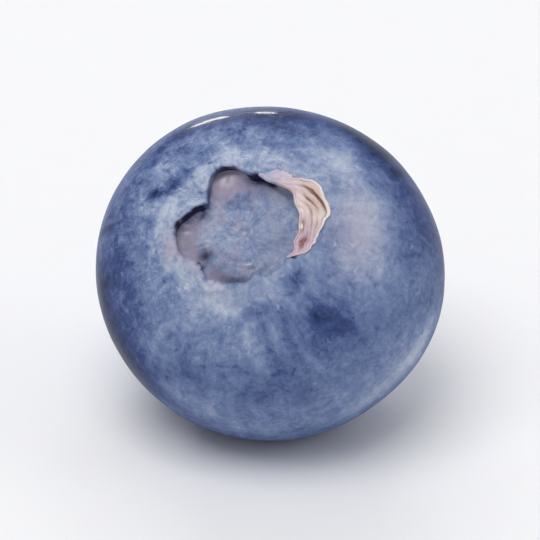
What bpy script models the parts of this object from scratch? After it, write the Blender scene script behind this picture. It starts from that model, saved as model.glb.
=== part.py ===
"""One ripe highbush blueberry, lying on the small flat that it has settled on.

The fruit is one solid. A sphere primitive gives its rings and meridians, and each ring is moved
to one station of the berry's own meridian: disc, calyx recess, calyx collar with five lobes,
shoulder, belly and stem scar. The berry is then laid back on its side and cut flat where it rests.
Units are metres, +Z is up, and the crown looks towards -Y. The origin is the middle of the
underside of the bounding box. Azimuths are in degrees round the berry's axis, from +X.
"""

import math

import bmesh
import bpy
from mathutils import Matrix, Vector

MM = 0.001

# Driving sizes of the fruit
WIDTH = 17.2 * MM  # across the equator, side to side
EQUATOR_RATIO = 0.955  # the equator's other width over WIDTH
CROWN_HEIGHT = 6.9 * MM  # from the equator to the crown end, before the calyx is formed
STEM_HEIGHT = 7.3 * MM  # from the equator to the stem end
CROWN_FULLNESS = 2.3  # superellipse powers: 2 is an ellipse, more is squarer
STEM_FULLNESS = 2.08
LEAN_DEG = 42.5  # the crown's axis from the vertical
FLAT_DEPTH = 0.50 * MM  # how much of the underside the flat takes

# Slow unevenness of the skin: share of the radius, waves round the axis, phase in degrees
WAVES = ((0.004, 2, 70.0), (0.008, 3, 291.0), (0.0035, 5, 48.0))
# Raggedness of the calyx's edges: length, waves round the axis, phase in degrees
RAGS = ((0.07 * MM, 7, 30.0), (0.05 * MM, 11, 140.0), (0.03 * MM, 18, 250.0))

# The five calyx lobes: azimuth of the middle, reach of the recess, reach and height of the collar,
# and how slowly the recess widens from its notches
LOBES = (
    (36.0, 3.00 * MM, 4.40 * MM, 0.38 * MM, 0.7),
    (120.0, 3.55 * MM, 4.25 * MM, 0.24 * MM, 1.75),
    (195.0, 3.32 * MM, 4.25 * MM, 0.24 * MM, 1.2),
    (263.0, 2.95 * MM, 3.85 * MM, 0.22 * MM, 0.6),
    (330.0, 2.90 * MM, 4.15 * MM, 0.20 * MM, 1.2),
)
# The notch after each lobe: azimuth, reach of the recess, reach and height of the collar
NOTCHES = (
    (92.0, 2.84 * MM, 3.72 * MM, 0.16 * MM),
    (152.0, 2.06 * MM, 3.60 * MM, 0.13 * MM),
    (229.0, 2.82 * MM, 3.62 * MM, 0.12 * MM),
    (295.0, 2.48 * MM, 3.45 * MM, 0.12 * MM),
    (355.5, 2.65 * MM, 3.75 * MM, 0.16 * MM),
)
RECESS_DEPTH = 0.64 * MM  # from the shoulder down to the recess's floor
DISC_RADIUS = 1.68 * MM  # of the shallow groove round the disc in the middle
DISC_LEVEL_RADIUS = 2.25 * MM  # where the shoulder sets the disc's level
BLEND_REACH = 0.75 * MM  # from the collar's edge to the plain shoulder
STYLE_SCAR_RADIUS = 0.30 * MM  # of the raised ring in the disc's middle

# The stem scar at the other end
DIMPLE_RADIUS = 2.7 * MM
DIMPLE_DEPTH = 0.42 * MM
STEM_SCAR_RADIUS = 0.95 * MM

# Mesh: meridians round the axis, and rings along each part of a meridian
MERIDIANS = 80
CROWN_RINGS = 32
BODY_RINGS = 20
STEM_RINGS = 8


def turn_from(start, end):
    """The turn in degrees from one azimuth to another, from -180 to 180."""
    return (end - start + 180) % 360 - 180


def waves_at(waves, azimuth):
    """The sum of some waves round the axis, at an azimuth."""
    return sum(size * math.cos(math.radians(count * azimuth + phase)) for size, count, phase in waves)


def lobe_at(azimuth):
    """How near the notch an azimuth is, from 0 at its lobe's middle to 1, with the lobe and notch."""
    choices = []
    for index, lobe in enumerate(LOBES):
        offset = turn_from(lobe[0], azimuth)
        notch = NOTCHES[index if offset > 0 else index - 1]
        choices.append((offset / turn_from(lobe[0], notch[0]), lobe, notch))
    nearness, lobe, notch = min(choices)
    return min(nearness, 1.0), lobe, notch


def shoulder(radius):
    """Height of the plain crown end over the equator, at a distance from the axis."""
    share = radius / (WIDTH / 2)
    return CROWN_HEIGHT * (1 - share**CROWN_FULLNESS) ** (1 / CROWN_FULLNESS)


def body_point(latitude):
    """(radius, height) of the plain berry where a ray at that latitude leaves it."""
    height, power = (CROWN_HEIGHT, CROWN_FULLNESS) if latitude > 0 else (STEM_HEIGHT, STEM_FULLNESS)
    across = math.cos(latitude) / (WIDTH / 2)
    upward = abs(math.sin(latitude)) / height
    reach = (across**power + upward**power) ** (-1 / power)
    return reach * math.cos(latitude), reach * math.sin(latitude)


def latitude_of(radius, end):
    """The latitude at which the plain berry has that radius, at the crown end, 1, or the stem's, -1."""
    low, high = 0.0, math.pi / 2
    for _ in range(40):
        middle = (low + high) / 2
        if body_point(end * middle)[0] > radius:
            low = middle
        else:
            high = middle
    return end * low


def crown_stations(azimuth):
    """(radius, height) stations from the style scar out to the plain shoulder."""
    nearness, lobe, notch = lobe_at(azimuth)
    bay = (1 - nearness**2) ** lobe[4]
    tip = max(math.cos(nearness * math.pi / 2), 0.0) ** 0.7
    recess = notch[1] + (lobe[1] - notch[1]) * bay + waves_at(RAGS, azimuth)
    collar = notch[2] + (lobe[2] - notch[2]) * tip + waves_at(RAGS, -azimuth)
    lift = notch[3] + (lobe[3] - notch[3]) * tip
    disc = shoulder(DISC_LEVEL_RADIUS) - RECESS_DEPTH
    floor = shoulder(recess) - RECESS_DEPTH
    crest = recess + 0.28 * MM
    middle = (recess + collar) / 2
    brow = collar - 0.25 * MM
    foot = collar + 0.25 * MM
    joint = collar + BLEND_REACH
    return (
        (0.0, disc - 0.10 * MM),
        (0.5 * STYLE_SCAR_RADIUS, disc - 0.05 * MM),
        (STYLE_SCAR_RADIUS, disc + 0.10 * MM),
        (1.7 * STYLE_SCAR_RADIUS, disc + 0.06 * MM),
        (0.65 * DISC_RADIUS, disc + 0.07 * MM),
        (DISC_RADIUS - 0.25 * MM, disc + 0.02 * MM),
        (DISC_RADIUS, disc - 0.06 * MM),
        (recess - 0.16 * MM, floor + 0.12 * MM * bay),
        (recess + 0.03 * MM, floor + 0.20 * MM),
        (recess - 0.02 * MM, floor + RECESS_DEPTH),
        (recess + 0.06 * MM, shoulder(recess) + 0.80 * lift),
        (crest, shoulder(crest) + lift),
        (middle, shoulder(middle) + 0.9 * lift),
        (brow, shoulder(brow) + 0.7 * lift),
        (collar, shoulder(collar) + 0.25 * lift),
        (foot, shoulder(foot) - 0.02 * MM),
        (joint, shoulder(joint)),
    )


def stem_stations():
    """(radius, height) stations from the plain berry in to the middle of the stem scar."""

    def sunk(radius, depth):
        return radius, body_point(latitude_of(radius, -1))[1] + depth * DIMPLE_DEPTH

    return (
        sunk(DIMPLE_RADIUS, 0.0),
        sunk(0.63 * DIMPLE_RADIUS, 0.45),
        sunk(1.15 * STEM_SCAR_RADIUS, 0.75),
        sunk(STEM_SCAR_RADIUS, 0.45),
        sunk(0.72 * STEM_SCAR_RADIUS, 0.55),
        sunk(0.45 * STEM_SCAR_RADIUS, 1.10),
        sunk(0.0, 1.30),
    )


def curve_point(stations, share):
    """The point at a share, 0 to 1, of a smooth curve through evenly spaced stations."""
    last = len(stations) - 1
    place = min(max(share, 0.0), 1.0) * last
    index = min(int(place), last - 1)
    t = place - index
    near = (stations[min(max(i, 0), last)] for i in range(index - 1, index + 3))
    return tuple(
        0.5 * (2 * b + (c - a) * t + (2 * a - 5 * b + 4 * c - d) * t**2 + (3 * b - a - 3 * c + d) * t**3)
        for a, b, c, d in zip(*near)
    )


def skin_point(ring, azimuth):
    """The skin's point on a ring, counted from the crown's middle, at an azimuth."""
    stations = crown_stations(azimuth)
    if ring <= CROWN_RINGS:
        radius, height = curve_point(stations, ring / CROWN_RINGS)
    elif ring <= CROWN_RINGS + BODY_RINGS:
        start = latitude_of(stations[-1][0], 1)
        end = latitude_of(DIMPLE_RADIUS, -1)
        radius, height = body_point(start + (end - start) * (ring - CROWN_RINGS) / BODY_RINGS)
    else:
        radius, height = curve_point(stem_stations(), (ring - CROWN_RINGS - BODY_RINGS) / STEM_RINGS)
    radius *= 1 + waves_at(WAVES, azimuth) * min(radius / (WIDTH / 2), 1.0)
    turn = math.radians(azimuth)
    return Vector((radius * math.cos(turn), EQUATOR_RATIO * radius * math.sin(turn), height))


def make_fruit():
    """The whole berry, upright on its axis, as one closed mesh made from a sphere primitive."""
    rings = CROWN_RINGS + BODY_RINGS + STEM_RINGS
    fruit = bmesh.new()
    bmesh.ops.create_uvsphere(fruit, u_segments=MERIDIANS, v_segments=rings, radius=1.0)
    for vertex in fruit.verts:
        ring = round(math.acos(max(-1.0, min(1.0, vertex.co.z))) / math.pi * rings)
        azimuth = math.degrees(math.atan2(vertex.co.y, vertex.co.x)) % 360
        vertex.co = skin_point(ring, azimuth)
    return fruit


def lay_down(fruit):
    """Leans the crown towards -Y, cuts the flat and puts the origin under the middle of the box."""
    lean = Matrix.Rotation(math.radians(LEAN_DEG), 3, "X")
    bmesh.ops.rotate(fruit, verts=fruit.verts, cent=(0, 0, 0), matrix=lean)
    table = min(vertex.co.z for vertex in fruit.verts) + FLAT_DEPTH
    cut = bmesh.ops.bisect_plane(
        fruit,
        geom=[*fruit.verts, *fruit.edges, *fruit.faces],
        plane_co=(0, 0, table),
        plane_no=(0, 0, -1),
        clear_outer=True,
    )
    rim = [item for item in cut["geom_cut"] if isinstance(item, bmesh.types.BMEdge)]
    bmesh.ops.contextual_create(fruit, geom=rim)
    low = Vector([min(vertex.co[axis] for vertex in fruit.verts) for axis in range(3)])
    high = Vector([max(vertex.co[axis] for vertex in fruit.verts) for axis in range(3)])
    under = Vector(((low.x + high.x) / 2, (low.y + high.y) / 2, low.z))
    bmesh.ops.translate(fruit, verts=fruit.verts, vec=-under)


def waxy_skin():
    """Blue-black skin under a pale waxy bloom."""
    material = bpy.data.materials.new("waxy_blueberry_skin")
    material.use_nodes = True
    shader = material.node_tree.nodes["Principled BSDF"]
    shader.inputs["Base Color"].default_value = (0.13, 0.19, 0.36, 1.0)
    shader.inputs["Roughness"].default_value = 0.5
    shader.inputs["Metallic"].default_value = 0.0
    return material


def build():
    for old in list(bpy.data.objects):
        bpy.data.objects.remove(old)
    collection = bpy.data.collections.new("blueberry")
    bpy.context.scene.collection.children.link(collection)

    fruit = make_fruit()
    lay_down(fruit)
    mesh = bpy.data.meshes.new("blueberry")
    fruit.to_mesh(mesh)
    fruit.free()
    mesh.shade_smooth()
    mesh.set_sharp_from_angle(angle=math.radians(50))
    mesh.materials.append(waxy_skin())
    collection.objects.link(bpy.data.objects.new("blueberry", mesh))


build()
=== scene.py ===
"""One ripe highbush blueberry, lying aslant with its crown up and towards the camera.

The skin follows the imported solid's own outline at a finer grain, with the ragged calyx and the style
scar in it, and carries the waxy bloom. The dried sepal and the stem scar are pieces of their own.
Lengths are in metres, azimuths are in degrees round the berry's axis from +X, and a station is a
place along the berry's meridian, counted from the middle of its crown. Seen by the camera, azimuth
13 is the crown's right, 99 its top, 193 its left and 279 its front.
"""

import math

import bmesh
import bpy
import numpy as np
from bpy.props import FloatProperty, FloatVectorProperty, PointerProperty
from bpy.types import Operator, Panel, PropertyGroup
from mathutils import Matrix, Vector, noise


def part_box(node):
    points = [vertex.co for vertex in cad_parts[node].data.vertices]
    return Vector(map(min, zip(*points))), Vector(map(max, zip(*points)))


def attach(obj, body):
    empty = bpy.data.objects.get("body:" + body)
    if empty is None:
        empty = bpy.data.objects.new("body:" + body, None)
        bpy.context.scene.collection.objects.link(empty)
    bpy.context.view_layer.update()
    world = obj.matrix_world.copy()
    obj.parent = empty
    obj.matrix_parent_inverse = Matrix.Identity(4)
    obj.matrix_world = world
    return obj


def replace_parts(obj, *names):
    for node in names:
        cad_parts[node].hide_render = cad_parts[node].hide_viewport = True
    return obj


bl_info = {
    "name": "Blueberry",
    "version": (1, 0, 0),
    "blender": (4, 5, 0),
    "location": "3D View > Sidebar > Blueberry",
    "description": "Dresses one ripe blueberry with its bloom, its dried calyx and its scars",
    "category": "Add Mesh",
}

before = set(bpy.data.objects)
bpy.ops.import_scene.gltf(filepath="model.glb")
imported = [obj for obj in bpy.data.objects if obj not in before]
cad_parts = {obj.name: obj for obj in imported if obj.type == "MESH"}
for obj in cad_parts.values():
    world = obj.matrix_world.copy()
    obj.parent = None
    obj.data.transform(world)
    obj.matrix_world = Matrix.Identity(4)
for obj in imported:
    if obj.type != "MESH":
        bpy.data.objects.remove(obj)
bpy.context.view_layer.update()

MM = 0.001
NODE = "blueberry"
FRUIT_LOW, FRUIT_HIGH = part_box(NODE)

# Slow unevenness of the skin: share of the radius, waves round the axis, phase in degrees
WAVES = ((0.004, 2, 70.0), (0.008, 3, 291.0), (0.0035, 5, 48.0))
# Raggedness of the calyx's edges: length, waves round the axis, phase in degrees
RAGS = ((0.07 * MM, 7, 30.0), (0.05 * MM, 11, 140.0), (0.03 * MM, 18, 250.0))
# The five calyx lobes: azimuth of the middle, reach of the recess, reach and height of the collar,
# and how slowly the recess widens from its notches
LOBES = (
    (36.0, 3.00 * MM, 4.40 * MM, 0.38 * MM, 0.7),
    (120.0, 3.55 * MM, 4.25 * MM, 0.24 * MM, 1.75),
    (195.0, 3.32 * MM, 4.25 * MM, 0.24 * MM, 1.2),
    (263.0, 2.95 * MM, 3.85 * MM, 0.22 * MM, 0.6),
    (330.0, 2.90 * MM, 4.15 * MM, 0.20 * MM, 1.2),
)
# The notch after each lobe: azimuth, reach of the recess, reach and height of the collar
NOTCHES = (
    (92.0, 2.84 * MM, 3.72 * MM, 0.16 * MM),
    (152.0, 2.06 * MM, 3.60 * MM, 0.13 * MM),
    (229.0, 2.82 * MM, 3.62 * MM, 0.12 * MM),
    (295.0, 2.48 * MM, 3.45 * MM, 0.12 * MM),
    (355.5, 2.65 * MM, 3.75 * MM, 0.16 * MM),
)
# Rings of the skin's mesh: between each two stations of the crown, from its middle outwards, then
# from the shoulder to the stem's dimple, and in the dimple
CROWN_RINGS = (3, 3, 3, 7, 5, 5, 16, 6, 12, 6, 6, 12, 12, 8, 8, 12)
BODY_RINGS = 88
STEM_RINGS = 26
MERIDIANS = 400
# The stations of the recess's rim, of the plain shoulder's start and of the dimple's edge
RIM_STATION, SHOULDER_STATION, STEM_STATION = 10, 16, 17
# How far the skin is from the berry's middle, about, in millimetres
SKIN_REACH = 7.9

# Bloom thicker or thinner than round about, and some marks of painted light and shade along the
# edges: azimuth, latitude, length round the axis and length towards the crown in millimetres, turn in
# degrees, and gain
BLOOM_AND_PAINTED_LIGHT_MARKS = (
    (324.0, 37.5, 1.15, 1.00, 0.0, -0.29),
    (321.0, 46.0, 0.60, 0.60, 0.0, -0.20),
    (325.0, 60.0, 0.80, 0.60, 0.0, -0.34),
    (249.0, 60.0, 0.50, 0.40, 0.0, -0.16),
    (286.0, 31.0, 1.60, 1.00, 0.0, -0.09),
    (163.5, 49.5, 0.34, 0.44, 20.0, -0.47),
    (155.0, 54.0, 0.56, 0.32, 10.0, -0.42),
    (141.0, 56.0, 0.60, 0.50, 0.0, -0.17),
    (126.0, 58.0, 0.13, 0.13, 0.0, -0.30),
    (182.0, 28.0, 0.25, 0.90, 0.0, -0.30),
    (42.0, 20.0, 0.25, 0.70, 15.0, -0.22),
    (122.0, 33.0, 2.20, 0.60, 0.0, -0.34),
    (92.0, 41.0, 1.20, 0.50, 0.0, -0.30),
    (94.0, 33.0, 2.00, 0.80, 0.0, -0.40),
    # Painted shade along the upper right edge
    (59.0, 20.0, 2.40, 1.20, 0.0, -0.44),
    (25.0, 6.0, 2.40, 2.20, 0.0, -0.20),
    (231.0, 37.0, 0.60, 0.80, 0.0, -0.14),
    (203.0, 22.0, 1.80, 2.60, 0.0, -0.26),
    (193.0, 42.0, 1.60, 1.60, 0.0, -0.08),
    (272.0, 18.0, 3.20, 1.80, 0.0, 0.07),
    # Painted shade along the low left edge
    (226.0, 8.0, 2.20, 2.40, 0.0, -0.56),
    (240.0, 32.0, 0.90, 0.70, 0.0, 0.16),
    (258.0, 18.0, 1.30, 1.10, 0.0, 0.18),
    (150.0, 43.0, 0.45, 0.40, 0.0, 0.30),
    (172.0, 56.0, 0.90, 0.70, 0.0, 0.14),
    (250.0, 51.0, 0.80, 0.80, 0.0, 0.20),
    (88.0, 57.0, 0.90, 0.45, 0.0, 0.24),
    (52.0, 43.0, 1.50, 1.20, 0.0, 0.32),
    (58.0, 34.0, 0.90, 0.60, 0.0, 0.13),
    (270.0, 56.0, 0.80, 0.50, 0.0, 0.10),
    (28.0, 48.0, 0.60, 0.80, 0.0, 0.18),
    # Painted reflection of the right softbox, to the crown's right
    (13.0, 44.5, 1.90, 1.10, 0.0, 0.40),
    (357.0, 50.0, 0.90, 0.70, 0.0, 0.12),
    (24.0, 36.0, 1.50, 1.10, 0.0, 0.20),
    (354.0, 35.0, 1.30, 1.70, 0.0, 0.26),
    (3.0, 17.0, 1.20, 1.00, 0.0, 0.12),
    (297.0, 45.0, 0.30, 0.80, 0.0, 0.25),
    (282.0, 48.0, 0.25, 0.60, 0.0, 0.22),
    # Painted light along the lower right edge, where the pale floor lights it
    (324.0, 13.0, 3.00, 1.90, 0.0, 0.18),
    (318.0, -1.0, 2.20, 0.90, 0.0, 0.24),
    (341.0, 0.0, 1.60, 0.80, 0.0, 0.38),
    (280.0, 6.0, 2.20, 1.10, 0.0, 0.12),
    (70.0, -12.0, 2.40, 1.20, 20.0, -0.20),
    (112.0, -4.0, 1.00, 2.20, 0.0, -0.24),
    (150.0, -18.0, 1.60, 1.00, -15.0, 0.18),
    (35.0, -32.0, 1.80, 1.20, 10.0, -0.18),
    (188.0, -28.0, 2.00, 1.40, 0.0, 0.16),
    (128.0, -42.0, 1.60, 1.20, 0.0, -0.22),
    (85.0, -38.0, 1.10, 1.60, 0.0, 0.18),
    (10.0, -48.0, 1.20, 1.80, 0.0, 0.18),
    (250.0, -30.0, 1.50, 1.50, 0.0, -0.18),
)
# Small dents of the calyx, darkened with painted shade where the rim and the lobes shade its floor, and
# small pale flakes, some of them painted glints: azimuth, then in millimetres the distance from the
# axis, the length round the axis and the length outwards, and strength
PAINTED_SHADE_HOLLOWS = (
    (88.0, 2.80, 0.46, 0.14, 0.95),
    (72.0, 2.72, 0.34, 0.07, 0.45),
    (50.0, 2.76, 0.45, 0.10, 0.28),
    (34.0, 2.86, 0.30, 0.08, 0.25),
    (15.0, 2.80, 0.20, 0.13, 0.85),
    (164.0, 2.36, 0.34, 0.10, 0.60),
    (221.0, 2.20, 0.30, 0.36, 0.90),
    (231.0, 2.62, 0.17, 0.15, 0.75),
    (272.0, 2.48, 0.85, 0.26, 0.72),
    (196.0, 2.60, 0.75, 0.45, 0.20),
    (252.0, 2.20, 0.80, 0.40, 0.15),
    (355.0, 1.90, 0.80, 0.70, 0.11),
    (306.0, 2.12, 0.36, 0.14, 0.45),
    (294.0, 1.84, 0.22, 0.07, 0.45),
    (340.0, 2.98, 0.09, 0.16, 0.80),
    (331.0, 3.63, 0.16, 0.12, 0.40),
)
# Pale flakes of dry tissue; some are painted glints, and two make a painted lit patch in the top bay
PALE_FLAKES_AND_GLINTS = (
    (209.0, 1.93, 0.16, 0.08, 0.80),
    (233.0, 2.90, 0.12, 0.09, 0.70),
    (189.0, 2.95, 0.10, 0.20, 1.00),
    (181.0, 2.96, 0.07, 0.15, 0.80),
    (290.0, 1.62, 0.26, 0.05, 0.85),
    (119.0, 3.03, 0.60, 0.17, 1.00),
    (121.0, 2.78, 0.48, 0.20, 0.50),
    (93.0, 1.03, 0.15, 0.05, 0.40),
    (261.0, 3.44, 0.46, 0.28, 0.18),
    (272.0, 3.17, 0.26, 0.14, 0.28),
    (80.0, 3.42, 0.50, 0.14, 0.36),
    (64.0, 3.66, 0.45, 0.15, 0.36),
    (51.0, 3.90, 0.35, 0.14, 0.28),
    (11.0, 2.61, 0.11, 0.06, 0.90),
    (318.0, 3.20, 0.25, 0.08, 0.60),
    (0.0, 0.0, 0.10, 0.10, 0.60),
    (20.0, 0.40, 0.10, 0.07, 0.50),
    (95.0, 0.44, 0.08, 0.08, 0.50),
    (165.0, 0.36, 0.09, 0.06, 0.50),
    (240.0, 0.45, 0.12, 0.06, 0.50),
    (310.0, 0.38, 0.07, 0.08, 0.50),
)


def linear(code):
    """The linear colour of an sRGB hex code."""
    parts = [int(code[i : i + 2], 16) / 255 for i in (1, 3, 5)]
    return tuple(p / 12.92 if p <= 0.04045 else ((p + 0.055) / 1.055) ** 2.4 for p in parts)


def length(name, description, default):
    """A property for a length in metres."""
    return FloatProperty(
        name=name, description=description, default=default, min=0.0, precision=6, unit="LENGTH"
    )


def colour(name, description, code):
    """A property for a colour, given as an sRGB hex code."""
    return FloatVectorProperty(
        name=name, description=description, default=linear(code), min=0.0, max=1.0, subtype="COLOR"
    )


class FruitSizes(PropertyGroup):
    """The sizes of the whole fruit."""

    width: length("Width", "Across the equator, side to side", 17.2 * MM)
    equator_ratio: FloatProperty(
        name="Equator ratio", description="The equator's other width over its width", default=0.955
    )
    crown_height: length("Crown height", "From the equator to the plain crown end", 6.9 * MM)
    stem_height: length("Stem height", "From the equator to the stem end", 7.3 * MM)
    crown_fullness: FloatProperty(
        name="Crown fullness", description="Superellipse power of the crown end", default=2.3
    )
    stem_fullness: FloatProperty(
        name="Stem fullness", description="Superellipse power of the stem end", default=2.08
    )
    lean: FloatProperty(
        name="Lean",
        description="The crown's axis from the vertical",
        default=math.radians(42.5),
        unit="ROTATION",
    )
    flat_depth: length("Flat depth", "How much of the underside the flat takes", 0.5 * MM)
    dimple_radius: length("Dimple radius", "Of the dimple round the stem scar", 2.7 * MM)
    dimple_depth: length("Dimple depth", "Of the dimple round the stem scar", 0.42 * MM)
    scar_radius: length("Stem scar radius", "Of the scar that the stem left", 0.95 * MM)


class CalyxSizes(PropertyGroup):
    """The sizes of the crown that the flower left."""

    recess_depth: length("Recess depth", "From the shoulder down to the floor", 0.64 * MM)
    disc_radius: length("Disc radius", "Of the groove round the middle disc", 1.68 * MM)
    level_radius: length("Level radius", "Where the shoulder sets the disc's level", 2.25 * MM)
    blend_reach: length("Blend reach", "From the collar's edge to the shoulder", 0.75 * MM)
    style_radius: length("Style scar radius", "Of the ring in the disc's middle", 0.30 * MM)
    sepal_width: length("Sepal width", "Of the dried sepal where it is widest", 1.40 * MM)
    sepal_thickness: length("Sepal thickness", "Of the dried sepal", 0.07 * MM)


class SkinColours(PropertyGroup):
    """The colours of the skin, from rubbed bare to thick bloom, and of the calyx's floor."""

    bare: colour("Bare skin", "Rubbed free of bloom", "#233155")
    thin: colour("Thin bloom", "Bloom that the skin shows through", "#445485")
    even: colour("Even bloom", "Bloom over most of the fruit", "#7587ae")
    thick: colour("Thick bloom", "Bloom round the crown", "#bbc4d6")
    disc: colour("Disc", "The calyx's floor under its thin bloom", "#8f99b8")
    # Also tints the painted reflection to the crown's right
    bay: colour("Bay", "Drying tissue of the floor under the lobes", "#a998ad")
    # Painted shade: this dark colour stands for the shade that falls on the recess's wall under its rim
    wall: colour("Wall", "The calyx's damp dark wall", "#252240")
    # Also paints the glints and the lit patch on the calyx's floor
    fringe_and_glints: colour("Fringe", "The drying edge of the calyx", "#d6cfd9")


class TissueColours(PropertyGroup):
    """The colours of the calyx's dry tissue and of the corky scars."""

    # Also paints glints on the sepal's inner edge
    cream: colour("Cream", "Thin dry margins", "#f1e5e0")
    tan: colour("Tan", "Dry tissue", "#d6beb5")
    # Also paints shade on the sepal low in the recess and at its inner edge
    brown: colour("Brown", "Furrows of the dry tissue", "#785747")
    pink: colour("Pink", "Tissue that is still drying", "#d3bac6")
    rust: colour("Rust", "Bruised tissue", "#906266")
    dusted: colour("Dusted", "Tissue under bloom", "#a7afca")
    cork: colour("Cork", "The stem scar", "#7d6a58")
    dark_cork: colour("Dark cork", "Cracks of the stem scar", "#2f2620")


class StageLook(PropertyGroup):
    """The camera, the floor and the lights."""

    azimuth: FloatProperty(
        name="Azimuth",
        description="The camera's turn from looking along +Y",
        default=math.radians(17.2),
        unit="ROTATION",
    )
    elevation: FloatProperty(
        name="Elevation",
        description="The camera's height over the floor, as an angle",
        default=math.radians(30.0),
        unit="ROTATION",
    )
    distance: length("Distance", "From the camera to the fruit", 350 * MM)
    view_width: length("View width", "How much the picture takes in at the fruit", 26.5 * MM)
    floor_colour: colour("Floor", "Matt pale board", "#f4f4f6")
    world_strength: FloatProperty(
        name="Room light", description="Brightness of the pale room", default=0.42
    )
    board_glow: FloatProperty(
        name="Board glow", description="Brightness of the room beyond the floor's end", default=0.9
    )


class BerryForm:
    """The berry's outline on every side of its axis, and where it lies."""

    def __init__(self, fruit, calyx):
        self.half = fruit.width / 2
        self.ratio = fruit.equator_ratio
        self.crown = (fruit.crown_height, fruit.crown_fullness)
        self.stem = (fruit.stem_height, fruit.stem_fullness)
        self.dimple_radius = fruit.dimple_radius
        self.dimple_depth = fruit.dimple_depth
        self.scar_radius = fruit.scar_radius
        self.recess_depth = calyx.recess_depth
        self.disc_radius = calyx.disc_radius
        self.level_radius = calyx.level_radius
        self.blend_reach = calyx.blend_reach
        self.style_radius = calyx.style_radius
        self.resting = self.lie(fruit.lean, fruit.flat_depth)

    def lie(self, lean, flat_depth):
        """Leans the crown back, puts the flat on the floor and the berry in the solid's box."""
        leaning = Matrix.Rotation(lean, 4, "X")
        spots = [
            leaning @ self.place(*self.body_point(math.radians(latitude)), azimuth)
            for latitude in range(-88, 60, 2)
            for azimuth in range(0, 360, 3)
        ]
        low, high = ([pick(spot[axis] for spot in spots) for axis in range(3)] for pick in (min, max))
        middle = (FRUIT_LOW + FRUIT_HIGH) / 2
        shift = (middle.x - (low[0] + high[0]) / 2, middle.y - (low[1] + high[1]) / 2)
        return Matrix.Translation((*shift, FRUIT_LOW.z - low[2] - flat_depth)) @ leaning

    def place(self, radius, height, azimuth):
        """The point that far from the axis and over the equator, at an azimuth."""
        radius *= 1 + waves_at(WAVES, azimuth) * min(radius / self.half, 1.0)
        turn = math.radians(azimuth)
        return Vector((radius * math.cos(turn), self.ratio * radius * math.sin(turn), height))

    def shoulder(self, radius):
        """Height of the plain crown end over the equator."""
        height, power = self.crown
        return height * (1 - (radius / self.half) ** power) ** (1 / power)

    def body_point(self, latitude):
        """(radius, height) of the plain berry where a ray at that latitude leaves it."""
        height, power = self.crown if latitude > 0 else self.stem
        across = math.cos(latitude) / self.half
        upward = abs(math.sin(latitude)) / height
        reach = (across**power + upward**power) ** (-1 / power)
        return reach * math.cos(latitude), reach * math.sin(latitude)

    def latitude_of(self, radius, end):
        """The latitude at which the plain berry has that radius, at the crown, 1, or the stem, -1."""
        low, high = 0.0, math.pi / 2
        for _ in range(40):
            middle = (low + high) / 2
            if self.body_point(end * middle)[0] > radius:
                low = middle
            else:
                high = middle
        return end * low

    def calyx_edges(self, azimuth):
        """Reach of the recess, reach and height of the collar, and openness of the bay."""
        nearness, lobe, notch = lobe_at(azimuth)
        _, lobe_recess, lobe_collar, lobe_lift, slowness = lobe
        _, notch_recess, notch_collar, notch_lift = notch
        bay = (1 - nearness**2) ** slowness
        tip = max(math.cos(nearness * math.pi / 2), 0.0) ** 0.7
        recess = notch_recess + (lobe_recess - notch_recess) * bay + waves_at(RAGS, azimuth)
        collar = notch_collar + (lobe_collar - notch_collar) * tip + waves_at(RAGS, -azimuth)
        return recess, collar, notch_lift + (lobe_lift - notch_lift) * tip, bay

    def crown_stations(self, azimuth):
        """(radius, height) stations from the style scar out to the plain shoulder."""
        recess, collar, lift, bay = self.calyx_edges(azimuth)
        shoulder = self.shoulder
        disc = shoulder(self.level_radius) - self.recess_depth
        groove = self.disc_radius * (1 + 0.09 * around(azimuth, 1.1, 2.0))
        cut = (0.03 + 0.05 * around(azimuth, 1.6, 5.0)) * MM
        # The recess's edge frays all round, and most towards the front
        worn = 1 + 1.4 * hump(turn_from(258, azimuth) / 50)
        fray = (0.045 * around(azimuth, 8.0, 8.0) + 0.03 * around(azimuth, 20.0, 3.0)) * worn * MM
        floor = shoulder(recess) - self.recess_depth
        crest = recess + 0.28 * MM
        middle = (recess + collar) / 2
        brow = collar - 0.25 * MM
        foot = collar + 0.25 * MM
        joint = collar + self.blend_reach
        return (
            (0.0, disc - 0.04 * MM),  # 0, the middle
            (0.5 * self.style_radius, disc - 0.01 * MM),
            (self.style_radius, disc + 0.10 * MM),  # 2, the style scar's ring
            (1.7 * self.style_radius, disc + 0.06 * MM),
            (0.65 * groove, disc + 0.07 * MM),
            (groove - 0.25 * MM, disc + 0.02 * MM),
            (groove, disc - cut),  # 6, the groove round the disc
            (recess - 0.16 * MM, floor + 0.12 * MM * bay),  # 7, the floor's edge
            (recess + 0.03 * MM, floor + 0.20 * MM),  # 8, low on the wall
            (recess - 0.02 * MM + fray, floor + self.recess_depth),  # 9, the wall's top
            (recess + 0.06 * MM + fray, shoulder(recess) + 0.80 * lift + 0.5 * fray),  # 10, the rim
            (crest, shoulder(crest) + lift),  # 11, the collar's crest
            (middle, shoulder(middle) + 0.9 * lift),
            (brow, shoulder(brow) + 0.7 * lift),
            (collar, shoulder(collar) + 0.25 * lift),  # 14, the collar's edge
            (foot, shoulder(foot) - 0.02 * MM),  # 15, its foot
            (joint, shoulder(joint)),  # 16, the start of the plain shoulder
        )

    def stem_stations(self):
        """(radius, height) stations from the plain berry in to the middle of the stem scar."""

        def sunk(radius, depth):
            height = self.body_point(self.latitude_of(radius, -1))[1]
            return radius, height + depth * self.dimple_depth

        return (
            sunk(self.dimple_radius, 0.0),
            sunk(0.63 * self.dimple_radius, 0.45),
            sunk(1.15 * self.scar_radius, 0.75),
            sunk(self.scar_radius, 0.45),
            sunk(0.72 * self.scar_radius, 0.55),
            sunk(0.45 * self.scar_radius, 1.10),
            sunk(0.0, 1.30),
        )

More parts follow.
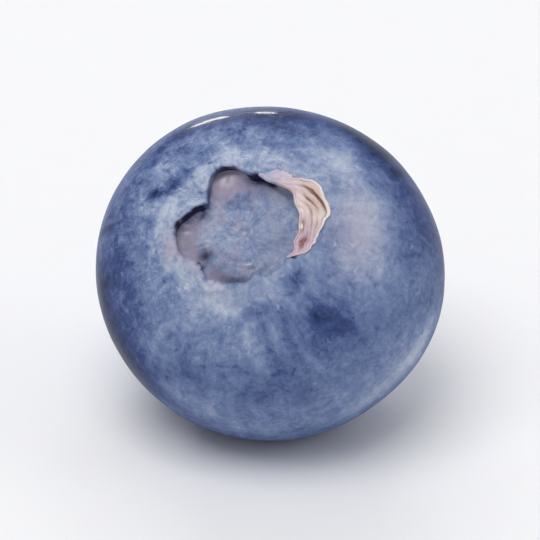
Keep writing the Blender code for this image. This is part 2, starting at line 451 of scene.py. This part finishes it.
    def meridian(self, azimuth, stem):
        """(radius, height, station) of each ring of the skin, from pole to pole."""
        stations = self.crown_stations(azimuth)
        line = []
        for index, rings in enumerate(CROWN_RINGS):
            for ring in range(rings):
                station = index + ring / rings
                line.append((*curve_point(stations, station), station))
        start, end = self.latitude_of(stations[-1][0], 1), self.latitude_of(self.dimple_radius, -1)
        for ring in range(BODY_RINGS):
            share = ring / BODY_RINGS
            line.append((*self.body_point(start + (end - start) * share), SHOULDER_STATION + share))
        for ring in range(STEM_RINGS + 1):
            station = (len(stem) - 1) * ring / STEM_RINGS
            line.append((*curve_point(stem, station), STEM_STATION + station))
        return line

    def collar_height(self, radius, azimuth):
        """Height of the collar's top over the equator, outside the recess."""
        outer = self.crown_stations(azimuth)[RIM_STATION:]
        return float(np.interp(radius, [spot[0] for spot in outer], [spot[1] for spot in outer]))


def turn_from(start, end):
    """The turn in degrees from one azimuth to another, from -180 to 180."""
    return (end - start + 180) % 360 - 180


def waves_at(waves, azimuth):
    """The sum of some waves round the axis, at an azimuth."""
    return sum(size * math.cos(math.radians(count * azimuth + phase)) for size, count, phase in waves)


def around(azimuth, crinkles, seed):
    """Natural unevenness from -1 to 1 round the axis, with about that many crinkles a radian."""
    turn = math.radians(azimuth)
    return noise.noise(Vector((crinkles * math.cos(turn), crinkles * math.sin(turn), seed)))


def lobe_at(azimuth):
    """How near the notch an azimuth is, from 0 at its lobe's middle to 1, with the lobe and notch."""
    choices = []
    for index, lobe in enumerate(LOBES):
        offset = turn_from(lobe[0], azimuth)
        notch = NOTCHES[index if offset > 0 else index - 1]
        choices.append((offset / turn_from(lobe[0], notch[0]), lobe, notch))
    nearness, lobe, notch = min(choices)
    return min(nearness, 1.0), lobe, notch


def curve_point(stations, place):
    """The point at a place, counted in stations, of a smooth curve through them."""
    last = len(stations) - 1
    index = min(int(place), last - 1)
    t = place - index
    near = (stations[min(max(i, 0), last)] for i in range(index - 1, index + 3))
    return tuple(
        0.5
        * (
            2 * b
            + (c - a) * t
            + (2 * a - 5 * b + 4 * c - d) * t**2
            + (3 * b - a - 3 * c + d) * t**3
        )
        for a, b, c, d in zip(*near)
    )


def smooth(value, start, end):
    """0 before start, 1 after end, and a smooth rise between them."""
    share = np.clip((np.asarray(value, float) - start) / (end - start), 0, 1)
    return share * share * (3 - 2 * share)


def ease(value, start, end):
    """The same rise for one number, as a plain number that can scale a Vector."""
    return float(smooth(value, start, end))


def band(value, rise, fall):
    """1 between a smooth rise and a smooth fall, each with its start and end, and 0 outside."""
    return smooth(value, *rise) * (1 - smooth(value, *fall))


def hump(*offsets):
    """1 where every offset is 0, and less the larger they are: about a third at an offset of 1."""
    return math.exp(-sum(offset**2 for offset in offsets))


def crinkle(spot, layers):
    """Natural unevenness at a spot in millimetres, summed over layers of grain size and height."""
    return sum(height * noise.noise(spot / grain) for grain, height in layers)


def relief(point, station, azimuth):
    """Fine relief in metres, of the skin, the calyx's floor or its collar."""
    spot = point / MM
    if station > SHOULDER_STATION:
        return MM * crinkle(spot, ((3.0, 0.030), (0.9, 0.008), (0.25, 0.002)))
    turn = math.radians(azimuth)
    round_axis = Vector((math.cos(turn), math.sin(turn), 0.06 * station)) * 8
    off_axis = math.hypot(spot.x, spot.y)
    floor = 1 - ease(station, 6.8, 8.0)
    collar = float(band(station, (9.5, 10.5), (14.0, 16.0)))
    return MM * (
        floor * crinkle(spot, ((0.75, 0.060), (0.28, 0.028), (0.10, 0.008)))
        + 0.07 * float(calyx_marks(PALE_FLAKES_AND_GLINTS, azimuth, off_axis))
        - 0.14 * float(calyx_marks(PAINTED_SHADE_HOLLOWS, azimuth, off_axis))
        + collar * (0.030 * noise.noise(round_axis) + crinkle(spot, ((0.35, 0.018), (0.12, 0.006))))
        + (1 - floor) * crinkle(spot, ((3.0, 0.030), (0.9, 0.008)))
    )


def gaussian_mark(azimuths, latitudes, mark):
    """A soft spot of the skin, as a strength at every vertex."""
    azimuth, latitude, across, upward, turn, gain = mark
    east = np.radians(turn_from(azimuth, azimuths)) * SKIN_REACH * np.cos(np.radians(latitudes))
    north = np.radians(latitudes - latitude) * SKIN_REACH
    angle = math.radians(turn)
    along = east * math.cos(angle) + north * math.sin(angle)
    beside = north * math.cos(angle) - east * math.sin(angle)
    return gain * np.exp(-((along / across) ** 2) - (beside / upward) ** 2)


def calyx_marks(marks, azimuths, off_axis):
    """How much of a small mark of the calyx there is, from 0 to 1, at azimuths and distances."""
    total = 0.0
    for azimuth, radius, across, outward, strength in marks:
        along = np.radians(turn_from(azimuth, azimuths)) * radius
        total += strength * np.exp(-((along / across) ** 2) - ((off_axis - radius) / outward) ** 2)
    return np.clip(total, 0, 1)


def skin_masks(places, stations, azimuths):
    """The broad look of every vertex of the skin: bloom, patchiness, the calyx's tissues, and painted
    light and shade.
    """
    off_axis = np.hypot(places[:, 0], places[:, 1])
    latitudes = np.degrees(np.arctan2(places[:, 2], off_axis))
    # Fine and coarse raggedness, with grains of 0.32 and 0.9 mm
    specks = np.array([noise.noise(Vector(place) / 0.32) for place in places])
    rags = np.array([noise.noise(Vector(place) / 0.9) for place in places])

    def towards(azimuth, spread):
        return np.exp(-((turn_from(azimuth, azimuths) / spread) ** 2))

    crown = smooth(latitudes, 20, 50)
    floor = 1 - smooth(stations, 7.0, 8.2)
    collar = band(stations, (9.8, 10.8), (14.2 + 1.2 * rags, 15.6 + 1.2 * rags))
    foot = np.exp(-(((stations - SHOULDER_STATION) / 0.7) ** 2))
    shaded = 0.55 + 0.45 * np.cos(np.radians(azimuths - 195))
    hidden = smooth(-latitudes, 5, 35) * (0.5 + 0.5 * np.sin(np.radians(azimuths - 17)))
    # Painted shade: less bloom, so a darker skin, in the groove at the collar's foot
    bloom = 0.47 + 0.07 * crown + 0.12 * floor + (0.09 + 0.12 * shaded) * collar - 0.08 * foot
    bloom += 0.12 * np.exp(-(((off_axis - 5.0) / 1.2) ** 2)) * crown * shaded + 0.06 * hidden
    for mark in BLOOM_AND_PAINTED_LIGHT_MARKS:
        bloom += gaussian_mark(azimuths, latitudes, mark)
    # The bloom is patchier up by the calyx and on its left than on the belly
    patchy = 0.6 + 0.5 * crown * (0.6 - 0.4 * np.cos(np.radians(azimuths - 330))) + 0.45 * floor
    patchy += 0.45 * hidden

    ground = smooth(off_axis + 0.5 * rags, 1.9, 2.6) * floor
    pink = ground * (towards(121, 30) + 0.8 * towards(195, 30) + 0.7 * towards(250, 30))
    mottles = 0.5 * floor * smooth(rags + 0.6 * specks, 0.0, 0.5) * (1 - 0.8 * towards(10, 60))
    lip = band(stations, (8.0, 9.6), (11.0 + 1.5 * rags, 13.6 + 1.5 * rags))
    drying = 0.5 * lip * (towards(204, 20) + 0.4 * towards(232, 14))
    # Painted reflection: a pale pinkish patch of softbox light to the crown's right
    painted_reflection = 0.40 * np.exp(-(((off_axis - 5.5) / 1.2) ** 2)) * towards(13, 22) * crown
    # Painted shade: the wall is darkest in crescents along the recess's top and its left, where the rim
    # shades it
    wall = band(stations, (7.2, 8.2), (9.3, 10.2))
    shade_crescents = 0.85 * towards(115, 12) + 0.15 * towards(141, 10) + towards(82, 15)
    shade_crescents = shade_crescents + towards(168, 15) + 0.7 * towards(180, 8)
    dark = wall * np.clip(shade_crescents - 0.6 * towards(101, 4) + 0.15, 0, 1)
    # Painted shade in the calyx's dents
    dark = dark + calyx_marks(PAINTED_SHADE_HOLLOWS, azimuths, off_axis) * crown
    rim = band(stations, (8.4, 9.6), (11.0 + 1.8 * rags, 12.4 + 1.8 * rags))
    fringe_and_glints = 0.45 * rim * smooth(specks + rags, -0.1, 0.6)
    fringe_and_glints *= np.clip(towards(258, 22) + 0.6 * towards(216, 22) + 0.5 * towards(328, 18), 0, 1)
    # The flakes include painted glints and a painted lit patch on the calyx's floor
    flakes_and_glints = calyx_marks(PALE_FLAKES_AND_GLINTS, azimuths, off_axis) * smooth(specks, -0.7, 0.1) * crown
    return {
        "bloom": bloom,
        "patchy": patchy,
        "floor": 0.38 * floor,
        # The pink layer also carries the painted reflection
        "pink": np.clip(0.8 * np.maximum(pink, mottles) + painted_reflection + drying, 0, 1),
        "dark": np.clip(dark, 0, 1),
        "fringe_and_glints": np.clip(fringe_and_glints + flakes_and_glints, 0, 1),
    }


def add_layer(mesh, name, values, kind="FLOAT"):
    """Stores a value for every vertex of a mesh, under a name that materials read."""
    field = "vector" if kind == "FLOAT_VECTOR" else "value"
    layer = mesh.attributes.new(name, kind, "POINT")
    layer.data.foreach_set(field, np.ravel(values).astype(np.float32))


# The colour sockets of a Mix node share their names with others, so they are picked by number
FACTOR, UNDER, OVER, MIXED = 0, 6, 7, 2


def add_node(tree, kind, inputs=None, **settings):
    """Adds a node. inputs maps a socket's name or number to a value, or to a socket to link from."""
    node = tree.nodes.new(kind)
    for name, value in settings.items():
        setattr(node, name, value)
    for key, value in (inputs or {}).items():
        if isinstance(value, bpy.types.NodeSocket):
            tree.links.new(value, node.inputs[key])
        else:
            node.inputs[key].default_value = value
    return node


def new_material(name):
    """A material with an empty tree, and the Principled shader that it ends in."""
    material = bpy.data.materials.new(name)
    material.use_nodes = True
    tree = material.node_tree
    tree.nodes.clear()
    shader = add_node(tree, "ShaderNodeBsdfPrincipled")
    add_node(tree, "ShaderNodeOutputMaterial", {"Surface": shader.outputs["BSDF"]})
    return material, tree, shader


def opaque(tint):
    """The colour with nothing showing through it."""
    return (*tint, 1.0)


def bloomed_skin(look):
    """Blueberry skin under its waxy bloom, grown: powder that hides the navy skin in soft patches."""
    material, tree, shader = new_material("bloomed_blueberry_skin")
    layer = {
        name: add_node(tree, "ShaderNodeAttribute", attribute_name=name)
        for name in ("place", "around", "bloom", "patchy", "floor", "pink", "dark", "fringe_and_glints")
    }
    # Each grain of the bloom: the layer it follows, its size there, octaves, swirl and gain. The
    # layer called place is in millimetres.
    grains = (
        ("place", 3.2, 2.0, 0.5, 0.60),
        ("place", 0.95, 4.0, 1.2, 0.80),
        ("around", 0.5, 3.0, 0.3, 0.40),
        ("place", 0.28, 3.0, 0.2, 0.42),
        ("place", 0.10, 1.0, 0.0, 0.22),
    )
    patches = -0.5 * sum(grain[4] for grain in grains)
    for source, size, detail, swirl, gain in grains:
        grain = add_node(
            tree,
            "ShaderNodeTexNoise",
            {
                "Vector": layer[source].outputs["Vector"],
                "Scale": 1 / size,
                "Detail": detail,
                "Distortion": swirl,
                "Roughness": 0.6,
            },
        )
        patches = add_node(
            tree,
            "ShaderNodeMath",
            {0: grain.outputs["Fac"], 1: gain, 2: patches},
            operation="MULTIPLY_ADD",
        ).outputs[0]
    # Small rubs where the bloom came off, and flecks where it is thick: size, threshold and gain
    for size, low, high, gain in ((0.55, 0.64, 0.74, -0.18), (0.38, 0.66, 0.76, 0.24)):
        spots = add_node(
            tree,
            "ShaderNodeTexNoise",
            {
                "Vector": layer["place"].outputs["Vector"],
                "Scale": 1 / size,
                "Detail": 2.0,
                "Distortion": 0.8,
            },
        )
        spots = add_node(
            tree,
            "ShaderNodeMapRange",
            {"Value": spots.outputs["Fac"], "From Min": low, "From Max": high, "To Max": gain},
        )
        patches = add_node(
            tree, "ShaderNodeMath", {0: patches, 1: spots.outputs[0]}, operation="ADD"
        ).outputs[0]
    cover = add_node(
        tree,
        "ShaderNodeMath",
        {0: patches, 1: layer["patchy"].outputs["Fac"], 2: layer["bloom"].outputs["Fac"]},
        operation="MULTIPLY_ADD",
    ).outputs[0]
    ramp = add_node(tree, "ShaderNodeValToRGB", {"Fac": cover})
    stops = ((0.02, look.bare), (0.28, look.thin), (0.56, look.even), (0.98, look.thick))
    for index, (place, tint) in enumerate(stops):
        # A new ramp has its first two stops already
        stop = ramp.color_ramp.elements[index] if index < 2 else ramp.color_ramp.elements.new(place)
        stop.position, stop.color = place, opaque(tint)
    tint = ramp.outputs["Color"]
    # The dark layer paints shade on the calyx's wall and dents; pink and fringe also carry a painted
    # reflection and glints
    for mask, over in (
        ("floor", look.disc),
        ("pink", look.bay),
        ("dark", look.wall),
        ("fringe_and_glints", look.fringe_and_glints),
    ):
        tint = add_node(
            tree,
            "ShaderNodeMix",
            {FACTOR: layer[mask].outputs["Fac"], UNDER: tint, OVER: opaque(over)},
            data_type="RGBA",
        ).outputs[MIXED]
    rough = add_node(
        tree,
        "ShaderNodeMapRange",
        {"Value": cover, "From Min": 0.1, "From Max": 0.8, "To Min": 0.34, "To Max": 0.62},
    )
    bump = add_node(tree, "ShaderNodeBump", {"Height": patches, "Strength": 0.6, "Distance": 0.03 * MM})
    for socket, source in (
        ("Base Color", tint),
        ("Roughness", rough.outputs[0]),
        ("Normal", bump.outputs[0]),
    ):
        tree.links.new(source, shader.inputs[socket])
    # The powder takes the skin's own gloss away, and the wax in it leaves a thin sheen
    shader.inputs["Specular IOR Level"].default_value = 0.02
    shader.inputs["Coat Weight"].default_value = 0.17
    shader.inputs["Coat Roughness"].default_value = 0.10
    shader.inputs["Coat IOR"].default_value = 1.3
    return material


def dry_sepal_tissue(look):
    """Papery calyx tissue, dried on the fruit: pale pink and cream, with brown furrows, painted shade
    and painted glints, and a dusting of bloom where it lies flat on the skin."""
    material, tree, shader = new_material("dried_papery_sepal")
    layer = {
        name: add_node(tree, "ShaderNodeAttribute", attribute_name=name)
        for name in ("place", "tan", "furrow_and_shade", "rust", "cream", "dusted")
    }
    fibre = add_node(
        tree,
        "ShaderNodeTexNoise",
        {
            "Vector": layer["place"].outputs["Vector"],
            "Scale": 1 / 0.20,
            "Detail": 4.0,
            "Roughness": 0.65,
            "Distortion": 0.6,
        },
    )
    tint = opaque(look.pink)
    for mask, over in (
        ("tan", look.tan),
        ("furrow_and_shade", look.brown),
        ("rust", look.rust),
        ("cream", look.cream),
        ("dusted", look.dusted),
    ):
        # The fibres break each colour up where it is thin, and leave it whole where it is thick
        broken = add_node(
            tree,
            "ShaderNodeMath",
            {0: fibre.outputs["Fac"], 1: 1.0, 2: layer[mask].outputs["Fac"]},
            operation="MULTIPLY_ADD",
        )
        amount = add_node(
            tree,
            "ShaderNodeMapRange",
            {"Value": broken.outputs[0], "From Min": 0.55, "From Max": 1.30},
        )
        tint = add_node(
            tree,
            "ShaderNodeMix",
            {FACTOR: amount.outputs[0], UNDER: tint, OVER: opaque(over)},
            data_type="RGBA",
        ).outputs[MIXED]
    bump = add_node(
        tree, "ShaderNodeBump", {"Height": fibre.outputs["Fac"], "Strength": 0.7, "Distance": 0.03 * MM}
    )
    tree.links.new(tint, shader.inputs["Base Color"])
    tree.links.new(bump.outputs[0], shader.inputs["Normal"])
    shader.inputs["Roughness"].default_value = 0.62
    return material


def corky_scar(look):
    """Cork that sealed the fruit where its stem broke off: brown, cracked and quite matt."""
    material, tree, shader = new_material("healed_cork")
    place = add_node(tree, "ShaderNodeAttribute", attribute_name="place")
    cracks = add_node(
        tree,
        "ShaderNodeTexNoise",
        {"Vector": place.outputs["Vector"], "Scale": 1 / 0.3, "Detail": 5.0, "Roughness": 0.7},
    )
    depth = add_node(
        tree,
        "ShaderNodeMapRange",
        {"Value": cracks.outputs["Fac"], "From Min": 0.38, "From Max": 0.62},
    )
    tint = add_node(
        tree,
        "ShaderNodeMix",
        {FACTOR: depth.outputs[0], UNDER: opaque(look.dark_cork), OVER: opaque(look.cork)},
        data_type="RGBA",
    )
    bump = add_node(
        tree, "ShaderNodeBump", {"Height": depth.outputs[0], "Strength": 0.8, "Distance": 0.05 * MM}
    )
    tree.links.new(tint.outputs[MIXED], shader.inputs["Base Color"])
    tree.links.new(bump.outputs[0], shader.inputs["Normal"])
    shader.inputs["Roughness"].default_value = 0.85
    return material


def matt_board(look):
    """Matt painted board, pale and plain, with a grain too faint to draw the eye."""
    material, tree, shader = new_material("matt_painted_board")
    spot = add_node(tree, "ShaderNodeTexCoord")
    grain = add_node(
        tree,
        "ShaderNodeTexNoise",
        {"Vector": spot.outputs["Object"], "Scale": 1 / (2.5 * MM), "Detail": 2.0},
    )
    tint = add_node(
        tree,
        "ShaderNodeMix",
        {FACTOR: 0.02, UNDER: opaque(look.floor_colour), OVER: grain.outputs["Color"]},
        data_type="RGBA",
    )
    tree.links.new(tint.outputs[MIXED], shader.inputs["Base Color"])
    shader.inputs["Roughness"].default_value = 0.8
    return material


def add_piece(context, name, mesh, material):
    """Puts a mesh in the scene as a piece that rides on the berry and takes a slot's finish."""
    mesh.shade_smooth()
    mesh.materials.append(material)
    piece = bpy.data.objects.new(name, mesh)
    context.scene.collection.objects.link(piece)
    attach(piece, "root")
    return piece


def grid_mesh(name, rows):
    """A mesh of quads through rows of points that are alike in number."""
    sheet = bmesh.new()
    lines = [[sheet.verts.new(point) for point in row] for row in rows]
    for near, far in zip(lines, lines[1:]):
        for a, b, c, d in zip(near, near[1:], far[1:], far):
            sheet.faces.new((a, b, c, d))
    mesh = bpy.data.meshes.new(name)
    sheet.to_mesh(mesh)
    sheet.free()
    return mesh


class BLUEBERRY_OT_skin(Operator):
    """Build the whole skin, from the calyx's floor to the stem scar, in place of the plain solid"""

    bl_idname = "blueberry.skin"
    bl_label = "Skin"

    def execute(self, context):
        form = BerryForm(context.scene.blueberry_fruit, context.scene.blueberry_calyx)
        stem = form.stem_stations()
        lines = [form.meridian(360 * i / MERIDIANS, stem) for i in range(MERIDIANS)]
        rings = len(lines[0]) - 1
        skin = bmesh.new()
        bmesh.ops.create_uvsphere(skin, u_segments=MERIDIANS, v_segments=rings, radius=1.0)
        places, stations, azimuths = [], [], []
        for vertex in skin.verts:
            ring = round(math.acos(max(-1.0, min(1.0, vertex.co.z))) / math.pi * rings)
            line = round(math.degrees(math.atan2(vertex.co.y, vertex.co.x)) / 360 * MERIDIANS)
            azimuth = 360 * (line % MERIDIANS) / MERIDIANS
            radius, height, station = lines[line % MERIDIANS][ring]
            point = form.place(radius, height, azimuth)
            point += relief(point, station, azimuth) * point.normalized()
            laid = form.resting @ point
            laid.z = max(laid.z, FRUIT_LOW.z)
            vertex.co = laid
            places.append(point / MM)
            stations.append(station)
            azimuths.append(azimuth)
        mesh = bpy.data.meshes.new("skin")
        skin.to_mesh(mesh)
        skin.free()
        places, stations, azimuths = np.array(places), np.array(stations), np.array(azimuths)
        turns = np.radians(azimuths)
        off_axis = np.hypot(places[:, 0], places[:, 1])
        # This layer changes fast round the axis and slowly outwards, for streaks from the crown down
        swept = np.stack([6 * np.cos(turns), 6 * np.sin(turns), 0.25 * off_axis], axis=1)
        add_layer(mesh, "place", places, "FLOAT_VECTOR")
        add_layer(mesh, "around", swept, "FLOAT_VECTOR")
        for name, values in skin_masks(places, stations, azimuths).items():
            add_layer(mesh, name, values)
        material = bloomed_skin(context.scene.blueberry_skin)
        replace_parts(add_piece(context, "bloomed_skin", mesh, material), NODE)
        return {"FINISHED"}


class BLUEBERRY_OT_dried_sepal(Operator):
    """Build the sepal that dried on the crown's right, folded out over the collar"""

    bl_idname = "blueberry.dried_sepal"
    bl_label = "Dried sepal"

    first, middle, last = -24.0, 31.0, 85.0  # azimuths
    lip = 0.22  # share of the sheet that climbs the recess's wall
    ribs = 3.4  # from the wall to the margin
    columns, rows = 260, 90

    def sheet_point(self, form, azimuth, share, widest):
        """The sheet's point from the wall, share 0, to the margin, 1, and its looks there."""
        recess, _, lift, _ = form.calyx_edges(azimuth)
        off_middle = azimuth - self.middle
        climb = min(share / self.lip, 1.0)
        reach = max(0.0, (share - self.lip) / (1 - self.lip))
        crumpled = math.exp(-((off_middle / 19.5) ** 4))
        ribbed = hump(off_middle / 17)
        frayed = ease(azimuth, 46, 60)

        # It is widest where it is crumpled, and its edge frays above that
        full = 0.42 + 0.20 * hump(azimuth / 14) + 0.56 * crumpled
        taper = float(band(azimuth, (self.first, self.first + 19), (70, self.last)))
        edge = 1 + 0.12 * around(azimuth, 4, 7.3) + 0.07 * around(azimuth, 14, 2.2)
        edge += 0.30 * frayed * around(azimuth, 24, 4.4)
        width = widest * full * taper * edge
        radius = recess + (-0.03 + 0.10 * climb**3) * MM + width * reach

        # The ribs slant across it near the wall, and turn along its margin farther out
        warp = 0.5 * around(azimuth, 2.4, 1.7)
        warp += (0.16 + 0.45 * frayed) * around(azimuth, 8, 3.0 + 2.5 * reach)
        skew = (0.028 + 0.07 * (1 - reach)) * off_middle
        ridge = math.cos(2 * math.pi * (self.ribs * reach + skew + warp))
        broken = min(max(0.95 + 1.2 * around(azimuth, 7, 6.0 + 3 * reach), 0.0), 1.15)
        calm = float(band(reach, (0.02, 0.18), (0.88, 1.0)))
        rib = (0.018 + 0.045 * ribbed) * ridge * calm

        # It hangs down the recess's wall, lies on the collar and curls up at its margin
        hang = 0.40 * (1 - 0.75 * ease(azimuth, 60, 76))
        curl = ease(reach, 0.70, 1.0) * (0.10 + 0.09 * around(azimuth, 7, 5.0))
        height = form.shoulder(recess) + lift if reach == 0 else form.collar_height(radius, azimuth)
        rise = 0.03 + 0.04 * crumpled + curl * crumpled + rib - hang * (1 - climb) ** 1.2
        point = form.place(radius, height + rise * MM, azimuth)
        point += MM * crinkle(point / MM, ((0.5, 0.02), (0.2, 0.018))) * point.normalized()

        outer = ease(reach, 0.22, 0.42)
        margin = ease(reach, 0.86, 0.95) * (0.25 + 0.75 * ease(azimuth, -12, 8))
        looks = {
            "tan": ribbed * (0.35 + 0.65 * outer),
            "furrow_and_shade": max(
                max(0.0, 0.22 - ridge) ** 0.7 * calm * broken * (0.05 + 1.20 * ribbed * outer),
                # Painted shade: a dark spot at the sepal's inner edge, and the sheet darkened low on
                # the recess's wall
                hump((azimuth - 12) / 7, (reach - 0.12) / 0.09),
                0.9 * (1 - ease(climb, 0.25, 0.85)),
            ),
            "rust": 1.1 * hump((azimuth + 4) / 7, (reach - 0.40) / 0.20),
            "cream": max(
                0.8 * margin * (1 - ease(azimuth, 44, 60)),
                0.5 * ribbed * (1 - outer),
                0.22 * hump((azimuth - 60) / 13),
                # Painted glints: pale spots of highlight on the sepal's inner edge
                sum(hump((azimuth - glint) / 3.0, (reach - 0.05) / 0.09) for glint in (11, 27)),
                0.55 * hump((azimuth - 19) / 6, (reach - 0.65) / 0.25),
            ),
            "dusted": 0.62 * ease(azimuth, 50, 78) + 0.4 * ease(-azimuth, 12, 24),
        }
        return point, looks

    def execute(self, context):
        calyx = context.scene.blueberry_calyx
        form = BerryForm(context.scene.blueberry_fruit, calyx)
        rows, places, looks = [], [], []
        for row in range(self.rows + 1):
            line = []
            for column in range(self.columns + 1):
                azimuth = self.first + (self.last - self.first) * column / self.columns
                point, look = self.sheet_point(form, azimuth, row / self.rows, calyx.sepal_width)
                line.append(form.resting @ point)
                places.append(point / MM)
                looks.append(look)
            rows.append(line)
        mesh = grid_mesh("dried_sepal", rows)
        add_layer(mesh, "place", places, "FLOAT_VECTOR")
        for name in looks[0]:
            add_layer(mesh, name, [look[name] for look in looks])
        material = dry_sepal_tissue(context.scene.blueberry_tissue)
        piece = add_piece(context, "dried_sepal", mesh, material)
        body = piece.modifiers.new("body", "SOLIDIFY")
        body.thickness, body.offset = calyx.sepal_thickness, 0.0
        return {"FINISHED"}


class BLUEBERRY_OT_stem_scar(Operator):
    """Build the corky scar that the stem left, in the dimple at the other end"""

    bl_idname = "blueberry.stem_scar"
    bl_label = "Stem scar"

    rings, columns = 36, 120

    def execute(self, context):
        fruit = context.scene.blueberry_fruit
        form = BerryForm(fruit, context.scene.blueberry_calyx)
        stations = form.stem_stations()[::-1]
        radii, heights = [spot[0] for spot in stations], [spot[1] for spot in stations]
        rows, places = [], []
        for ring in range(self.rings + 1):
            share = ring / self.rings
            line = []
            for column in range(self.columns + 1):
                azimuth = 360 * column / self.columns
                turn = math.radians(azimuth)
                ragged = 1 + 0.07 * around(azimuth, 2, 4.0)
                radius = 0.86 * fruit.scar_radius * share * ragged
                round_axis = Vector((4 * math.cos(turn), 4 * math.sin(turn), 3 * share))
                rough = 0.05 * noise.noise(round_axis) + 0.03 * noise.noise(round_axis * 3)
                rough *= float(band(share, (0.05, 0.3), (0.9, 1.0)))
                rise = 0.05 * (1 - ease(share, 0.85, 1.0)) + 0.16 * hump(share / 0.22)
                height = float(np.interp(radius, radii, heights)) - MM * (rise + rough - 0.02)
                point = form.place(radius, height, azimuth)
                line.append(form.resting @ point)
                places.append(point / MM)
            rows.append(line)
        mesh = grid_mesh("stem_scar", rows)
        add_layer(mesh, "place", places, "FLOAT_VECTOR")
        add_piece(context, "stem_scar", mesh, corky_scar(context.scene.blueberry_tissue))
        return {"FINISHED"}


class BLUEBERRY_OT_stage(Operator):
    """Lay the pale floor, hang the soft lights and aim the camera from the photograph's side"""

    bl_idname = "blueberry.stage"
    bl_label = "Stage"

    floor_reach = 3.0
    floor_height = -0.02 * MM  # a hair under the berry's flat, so that the two share no plane
    lamp_distance = 3.0
    # Softboxes: name, azimuth and elevation in degrees, width and height in metres, watts
    softboxes = (
        ("overhead_softbox", -20.0, 72.0, 2.2, 2.2, 50.0),
        ("right_softbox", 103.0, 26.0, 1.0, 1.6, 7.0),
        ("back_softbox", -160.0, 42.0, 2.4, 1.2, 18.0),
        ("rim_softbox", -151.0, 8.0, 0.41, 0.20, 10.5),
        ("small_rim_softbox", -161.6, 8.0, 0.16, 0.20, 3.6),
    )

    def aim(self, thing, azimuth, elevation, distance, target):
        """Puts a camera or light that way from the target, looking at it."""
        way = Vector(
            (
                math.sin(azimuth) * math.cos(elevation),
                -math.cos(azimuth) * math.cos(elevation),
                math.sin(elevation),
            )
        )
        thing.location = target + way * distance
        thing.rotation_euler = way.to_track_quat("Z", "Y").to_euler()

    def execute(self, context):
        scene, look = context.scene, context.scene.blueberry_stage
        middle = (FRUIT_LOW + FRUIT_HIGH) / 2
        ends = (-self.floor_reach, self.floor_reach)
        board = grid_mesh("floor", [[(x, y, self.floor_height) for x in ends] for y in ends])
        board.materials.append(matt_board(look))
        floor = bpy.data.objects.new("floor", board)
        scene.collection.objects.link(floor)

        for name, azimuth, elevation, width, height, watts in self.softboxes:
            lamp = bpy.data.lights.new(name, "AREA")
            lamp.shape, lamp.size, lamp.size_y, lamp.energy = "RECTANGLE", width, height, watts
            light = bpy.data.objects.new(name, lamp)
            scene.collection.objects.link(light)
            self.aim(light, math.radians(azimuth), math.radians(elevation), self.lamp_distance, middle)

        world = bpy.data.worlds.new("pale_room")
        world.use_nodes = True
        tree = world.node_tree
        background = tree.nodes["Background"]
        background.inputs["Color"].default_value = (1.0, 1.0, 1.0, 1.0)
        # Round the board's far end the room is as bright as the board, so that it shows no line
        way = add_node(tree, "ShaderNodeTexCoord").outputs["Generated"]
        up = add_node(tree, "ShaderNodeSeparateXYZ", {0: way}).outputs["Z"]
        glow = add_node(
            tree,
            "ShaderNodeMapRange",
            {"Value": up, "From Max": 0.05, "To Min": look.board_glow, "To Max": look.world_strength},
            interpolation_type="SMOOTHSTEP",
        )
        tree.links.new(glow.outputs[0], background.inputs["Strength"])
        scene.world = world
        scene.view_settings.view_transform = "Standard"

        lens = bpy.data.cameras.new("camera")
        lens.lens = lens.sensor_width * look.distance / look.view_width
        lens.clip_start = 10 * MM
        camera = bpy.data.objects.new("camera", lens)
        scene.collection.objects.link(camera)
        self.aim(camera, look.azimuth, look.elevation, look.distance, middle)
        scene.camera = camera
        return {"FINISHED"}


PIECES = (BLUEBERRY_OT_skin, BLUEBERRY_OT_dried_sepal, BLUEBERRY_OT_stem_scar, BLUEBERRY_OT_stage)
GROUPS = {
    "blueberry_fruit": FruitSizes,
    "blueberry_calyx": CalyxSizes,
    "blueberry_skin": SkinColours,
    "blueberry_tissue": TissueColours,
    "blueberry_stage": StageLook,
}


class BLUEBERRY_PT_sidebar(Panel):
    """The blueberry's pieces, sizes and colours"""

    bl_idname = "BLUEBERRY_PT_sidebar"
    bl_label = "Blueberry"
    bl_space_type = "VIEW_3D"
    bl_region_type = "UI"
    bl_category = "Blueberry"

    def draw(self, context):
        for piece in PIECES:
            self.layout.operator(piece.bl_idname)
        for group, kind in GROUPS.items():
            box = self.layout.box()
            for name in kind.__annotations__:
                box.prop(getattr(context.scene, group), name)


def register():
    for kind in (*GROUPS.values(), *PIECES, BLUEBERRY_PT_sidebar):
        bpy.utils.register_class(kind)
    for group, kind in GROUPS.items():
        setattr(bpy.types.Scene, group, PointerProperty(type=kind))


def unregister():
    for group in GROUPS:
        delattr(bpy.types.Scene, group)
    for kind in (BLUEBERRY_PT_sidebar, *reversed(PIECES), *reversed(GROUPS.values())):
        bpy.utils.unregister_class(kind)


def main():
    register()
    bpy.ops.blueberry.skin()
    bpy.ops.blueberry.dried_sepal()
    bpy.ops.blueberry.stem_scar()
    bpy.ops.blueberry.stage()


if __name__ == "__main__":
    main()
